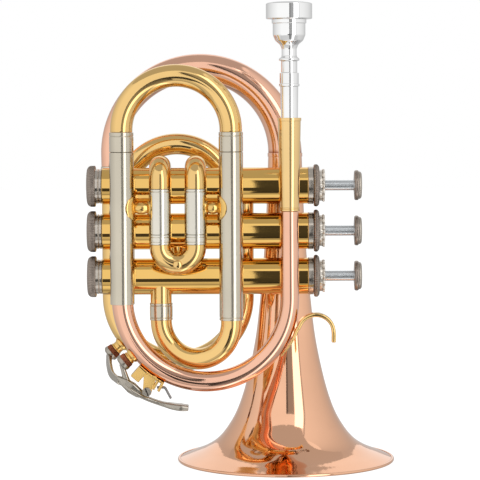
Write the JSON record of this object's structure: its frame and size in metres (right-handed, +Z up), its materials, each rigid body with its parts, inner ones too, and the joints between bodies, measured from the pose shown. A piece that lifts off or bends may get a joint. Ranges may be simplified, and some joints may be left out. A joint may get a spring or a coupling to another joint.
{
  "type": "pocket trumpet",
  "caption": "compact three-valve brass trumpet standing on its bell, with a tightly wrapped tube, slides, a water key and a mouthpiece",
  "frame": {"origin": "centre of the overall box in plan, on the plane of the bell rim it stands on", "axes": "+X along the valves towards the finger buttons, +Y from the front slides back to the bell, +Z up towards the mouthpiece"},
  "size_m": [0.172, 0.1234, 0.2582],
  "materials": {
    "rose_brass": "polished and lacquered",
    "yellow_brass": "polished and lacquered",
    "nickel": "polished nickel",
    "dark_nickel": "polished nickel with knurling",
    "silver": "silver plate",
    "spring_steel": "drawn wire",
    "cork": "dull cork"
  },
  "bodies": {
    "frame_body": {"bell": "rose_brass", "bell_bow": "rose_brass", "leadpipe": "rose_brass", "bell_tail": "yellow_brass", "mouthpiece_receiver": "yellow_brass", "inlet_bow": "yellow_brass", "inlet_tube": "yellow_brass", "first_slide_bend_left": "yellow_brass", "first_slide_bend_right": "yellow_brass", "third_slide_tube_left": "yellow_brass", "third_slide_tube_right": "yellow_brass", "valve_casing_1": "yellow_brass", "valve_casing_2": "yellow_brass", "valve_casing_3": "yellow_brass", "knuckle_1_2": "yellow_brass", "knuckle_2_3": "yellow_brass", "front_brace_left": "yellow_brass", "front_brace_right": "yellow_brass", "bell_brace": "yellow_brass", "receiver_brace": "yellow_brass", "pinky_hook": "yellow_brass", "water_key_nipple_front": "yellow_brass", "water_key_nipple_rear": "yellow_brass", "water_key_saddle": "yellow_brass", "bell_tail_ferrule": "nickel", "tuning_sleeve_left": "nickel", "tuning_sleeve_right": "nickel", "inlet_ferrule": "nickel", "first_slide_sleeve_left": "nickel", "first_slide_sleeve_right": "nickel", "second_slide_sleeve_left": "nickel", "second_slide_sleeve_right": "nickel", "water_key_pivot": "nickel", "bottom_cap_1": "dark_nickel", "bottom_cap_2": "dark_nickel", "bottom_cap_3": "dark_nickel", "top_cap_1": "dark_nickel", "top_cap_2": "dark_nickel", "top_cap_3": "dark_nickel", "piston_spring_1": "spring_steel", "piston_spring_2": "spring_steel", "piston_spring_3": "spring_steel"},
    "piston_1_body": {"piston_1": "nickel", "piston_stem_1": "dark_nickel"},
    "piston_2_body": {"piston_2": "nickel", "piston_stem_2": "dark_nickel"},
    "piston_3_body": {"piston_3": "nickel", "piston_stem_3": "dark_nickel"},
    "tuning_slide_body": {"tuning_slide_crook": "yellow_brass", "tuning_slide_leg_left": "nickel", "tuning_slide_leg_right": "nickel"},
    "first_slide_body": {"first_slide_crook": "yellow_brass", "first_slide_leg_left": "nickel", "first_slide_leg_right": "nickel"},
    "second_slide_body": {"second_slide": "yellow_brass"},
    "third_slide_body": {"third_slide": "yellow_brass"},
    "water_key_body": {"water_key_lever": "nickel", "water_key_cork_front": "cork", "water_key_cork_rear": "cork"},
    "mouthpiece_body": {"mouthpiece": "silver"}
  },
  "joints": [
    {"name": "piston_1_press", "type": "slide", "parent": "frame_body", "child": "piston_1_body", "axis": [-1, 0, 0], "range_m": [0, 0.0159], "stiffness_N_per_m": 80, "springref_m": -0.02, "deforming": ["piston_spring_1"]},
    {"name": "piston_2_press", "type": "slide", "parent": "frame_body", "child": "piston_2_body", "axis": [-1, 0, 0], "range_m": [0, 0.0159], "stiffness_N_per_m": 80, "springref_m": -0.02, "deforming": ["piston_spring_2"]},
    {"name": "piston_3_press", "type": "slide", "parent": "frame_body", "child": "piston_3_body", "axis": [-1, 0, 0], "range_m": [0, 0.0159], "stiffness_N_per_m": 80, "springref_m": -0.02, "deforming": ["piston_spring_3"]},
    {"name": "tuning_slide_pull", "type": "slide", "parent": "frame_body", "child": "tuning_slide_body", "axis": [0, 0, 1], "range_m": [0, 0.03]},
    {"name": "first_slide_pull", "type": "slide", "parent": "frame_body", "child": "first_slide_body", "axis": [0, 0, -1], "range_m": [0, 0.015]},
    {"name": "second_slide_pull", "type": "slide", "parent": "frame_body", "child": "second_slide_body", "axis": [0, 1, 0], "range_m": [0, 0.008]},
    {"name": "third_slide_pull", "type": "slide", "parent": "frame_body", "child": "third_slide_body", "axis": [0, 0, 1], "range_m": [0, 0.02]},
    {"name": "water_key_press", "type": "hinge", "parent": "frame_body", "child": "water_key_body", "pos_m": [-0.05276, -0.0445, 0.0457], "axis": [0, -1, 0], "range_deg": [0, 9], "stiffness_Nm_per_rad": 0.02, "springref_deg": -28.65},
    {"name": "mouthpiece_pull", "type": "slide", "parent": "frame_body", "child": "mouthpiece_body", "axis": [0, 0, 1], "range_m": [0, 0.04]}
  ]
}
